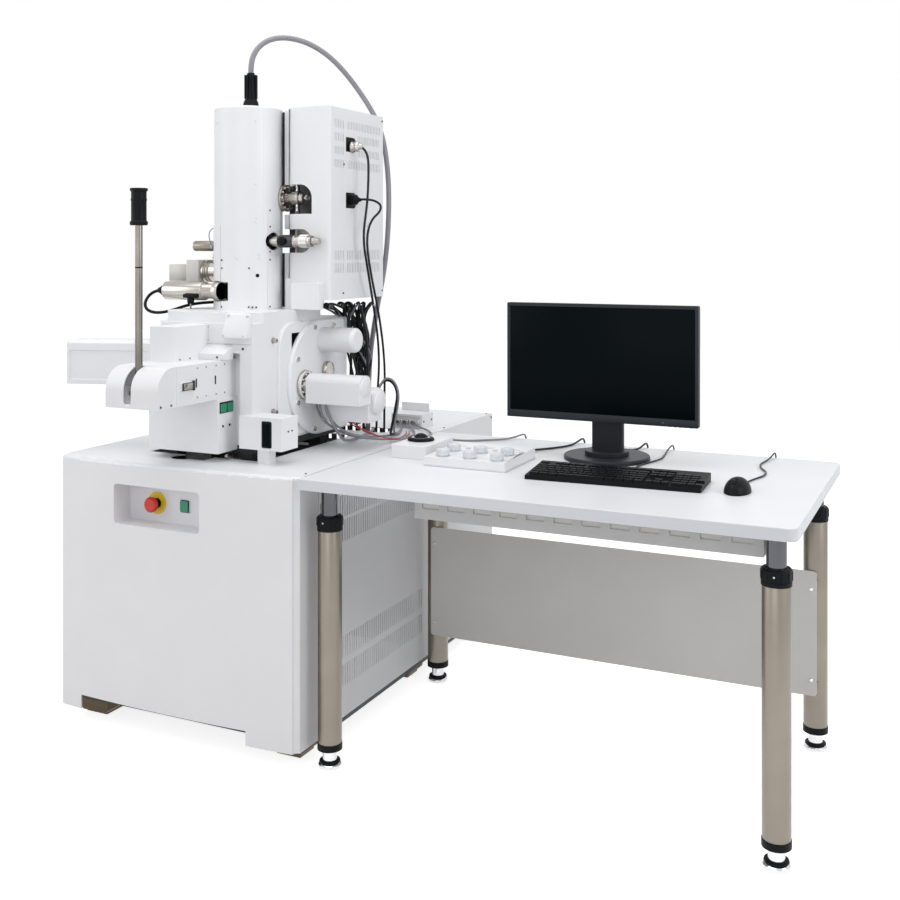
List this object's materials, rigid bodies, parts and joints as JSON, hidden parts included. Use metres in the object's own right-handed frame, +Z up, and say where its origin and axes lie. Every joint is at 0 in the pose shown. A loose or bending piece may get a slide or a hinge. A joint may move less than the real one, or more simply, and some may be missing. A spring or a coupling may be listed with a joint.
{
  "type": "scanning electron microscope",
  "caption": "Electron microscope: column on a specimen chamber over a covered console, side airlock with swinging exchange rod, and a height-adjustable operator desk with monitor.",
  "frame": {"origin": "on the floor, under the middle of the whole footprint", "axes": "+Z up, +X to the right along console and desk, +Y from the front to the rear"},
  "size_m": [2.0702, 1.403, 1.9433],
  "materials": {
    "white_paint": "powder-coated steel, fine satin",
    "white_moulding": "moulded cover, satin",
    "frame_paint": "dark powder coat",
    "stainless": "turned stainless steel",
    "chrome": "bright chrome plate",
    "bronze_tube": "satin steel tube",
    "black_plastic": "moulded black plastic",
    "black_plate": "black paint",
    "red_button": "moulded red plastic",
    "green_button": "moulded green plastic",
    "grey_knob": "moulded pale grey plastic",
    "grey_cable": "grey cable sheath",
    "black_cable": "black cable sheath",
    "desk_laminate": "white laminate on board",
    "grey_panel": "grey powder coat",
    "screen_case": "dark grey moulded case"
  },
  "bodies": {
    "console": {"base_frame": "frame_paint", "front_cover": "white_moulding", "left_cover": "white_paint", "right_cover": "white_paint", "rear_cover": "white_paint", "top_cover": "white_paint", "switch_panel": "white_paint", "console_feet": "bronze_tube", "electronics_rack": "frame_paint", "turbo_pump": "stainless", "isolation_plate": "black_plate", "chamber": "white_paint", "electron_column": "stainless", "column_cover": "white_paint", "pump_cover": "white_paint", "ion_pumps": "stainless", "hv_gland": "black_plastic", "hv_cable": "grey_cable", "stage_door": "white_paint", "stage_drives": "white_moulding", "airlock_body": "white_paint", "rod_guard": "white_moulding", "airlock_switch_box": "white_paint", "detector_housing": "white_paint", "side_detector": "stainless", "scope_box": "white_paint", "connector_box": "white_paint", "instrument_cables": "black_cable", "desk_legs": "bronze_tube", "modesty_panel": "grey_panel"},
    "desk": {"desk_top": "desk_laminate", "desk_posts": "chrome", "cable_trays": "grey_panel", "monitor_base": "screen_case", "keyboard": "black_plastic", "mouse": "black_plastic", "knob_panel": "white_moulding", "trackball_box": "white_moulding", "keyboard_cord": "black_cable", "mouse_cord": "black_cable", "panel_cord": "black_cable", "trackball_cord": "grey_cable", "monitor_cord": "black_cable"},
    "estop": {"estop_button": "red_button"},
    "power_button": {"main_switch": "green_button"},
    "rod": {"exchange_rod": "chrome"},
    "vent": {"vent_button": "green_button"},
    "evac": {"evac_button": "green_button"},
    "upper_valve": {"upper_valve_knob": "stainless"},
    "lower_valve": {"lower_valve_knob": "black_plastic"},
    "neck": {"monitor_neck": "screen_case"},
    "bracket": {"monitor_bracket": "screen_case"},
    "screen": {"monitor_screen": "screen_case"},
    "ball": {"trackball": "black_plastic"},
    "dial_1": {"knob_1": "grey_knob"},
    "dial_2": {"knob_2": "grey_knob"},
    "dial_3": {"knob_3": "grey_knob"},
    "dial_4": {"knob_4": "grey_knob"},
    "dial_5": {"knob_5": "grey_knob"},
    "dial_6": {"knob_6": "grey_knob"}
  },
  "joints": [
    {"name": "estop_press", "type": "slide", "parent": "console", "child": "estop", "axis": [0, 1, 0], "range_m": [0, 0.006], "stiffness_N_per_m": 600},
    {"name": "power_press", "type": "slide", "parent": "console", "child": "power_button", "axis": [0, 1, 0], "range_m": [0, 0.003], "stiffness_N_per_m": 600},
    {"name": "rod_swing", "type": "hinge", "parent": "console", "child": "rod", "pos_m": [-0.57187, -0.6565, 0.935], "axis": [1, 0, 0], "range_deg": [0, 90]},
    {"name": "vent_press", "type": "slide", "parent": "console", "child": "vent", "axis": [-1, 0, 0], "range_m": [0, 0.003], "stiffness_N_per_m": 400},
    {"name": "evac_press", "type": "slide", "parent": "console", "child": "evac", "axis": [-1, 0, 0], "range_m": [0, 0.003], "stiffness_N_per_m": 400},
    {"name": "upper_valve_turn", "type": "hinge", "parent": "console", "child": "upper_valve", "pos_m": [-0.40987, -0.1345, 1.455], "axis": [1, 0, 0], "range_deg": [0, 360]},
    {"name": "lower_valve_turn", "type": "hinge", "parent": "console", "child": "lower_valve", "pos_m": [-0.42987, -0.2195, 1.328], "axis": [0, -1, 0], "range_deg": [0, 270]},
    {"name": "desk_height", "type": "slide", "parent": "console", "child": "desk", "axis": [0, 0, 1], "range_m": [-0.03, 0.12]},
    {"name": "monitor_swivel", "type": "hinge", "parent": "desk", "child": "neck", "pos_m": [0.45013, 0.0455, 0.745], "axis": [0, 0, 1], "range_deg": [-35, 35]},
    {"name": "monitor_lift", "type": "slide", "parent": "neck", "child": "bracket", "axis": [0, 0, 1], "range_m": [-0.03, 0.05]},
    {"name": "monitor_tilt", "type": "hinge", "parent": "bracket", "child": "screen", "pos_m": [0.45013, 0.0295, 1], "axis": [-1, 0, 0], "range_deg": [-5, 15]},
    {"name": "ball_roll", "type": "hinge", "parent": "desk", "child": "ball", "pos_m": [-0.04487, -0.0995, 0.766], "axis": [1, 0, 0], "continuous": true},
    {"name": "dial_1_turn", "type": "hinge", "parent": "desk", "child": "dial_1", "pos_m": [0.08413, -0.2285, 0.765], "axis": [0, 0, 1], "continuous": true},
    {"name": "dial_2_turn", "type": "hinge", "parent": "desk", "child": "dial_2", "pos_m": [0.16213, -0.2285, 0.765], "axis": [0, 0, 1], "continuous": true},
    {"name": "dial_3_turn", "type": "hinge", "parent": "desk", "child": "dial_3", "pos_m": [0.24013, -0.2285, 0.765], "axis": [0, 0, 1], "continuous": true},
    {"name": "dial_4_turn", "type": "hinge", "parent": "desk", "child": "dial_4", "pos_m": [0.08413, -0.1575, 0.765], "axis": [0, 0, 1], "continuous": true},
    {"name": "dial_5_turn", "type": "hinge", "parent": "desk", "child": "dial_5", "pos_m": [0.16213, -0.1575, 0.765], "axis": [0, 0, 1], "continuous": true},
    {"name": "dial_6_turn", "type": "hinge", "parent": "desk", "child": "dial_6", "pos_m": [0.24013, -0.1575, 0.765], "axis": [0, 0, 1], "continuous": true}
  ]
}
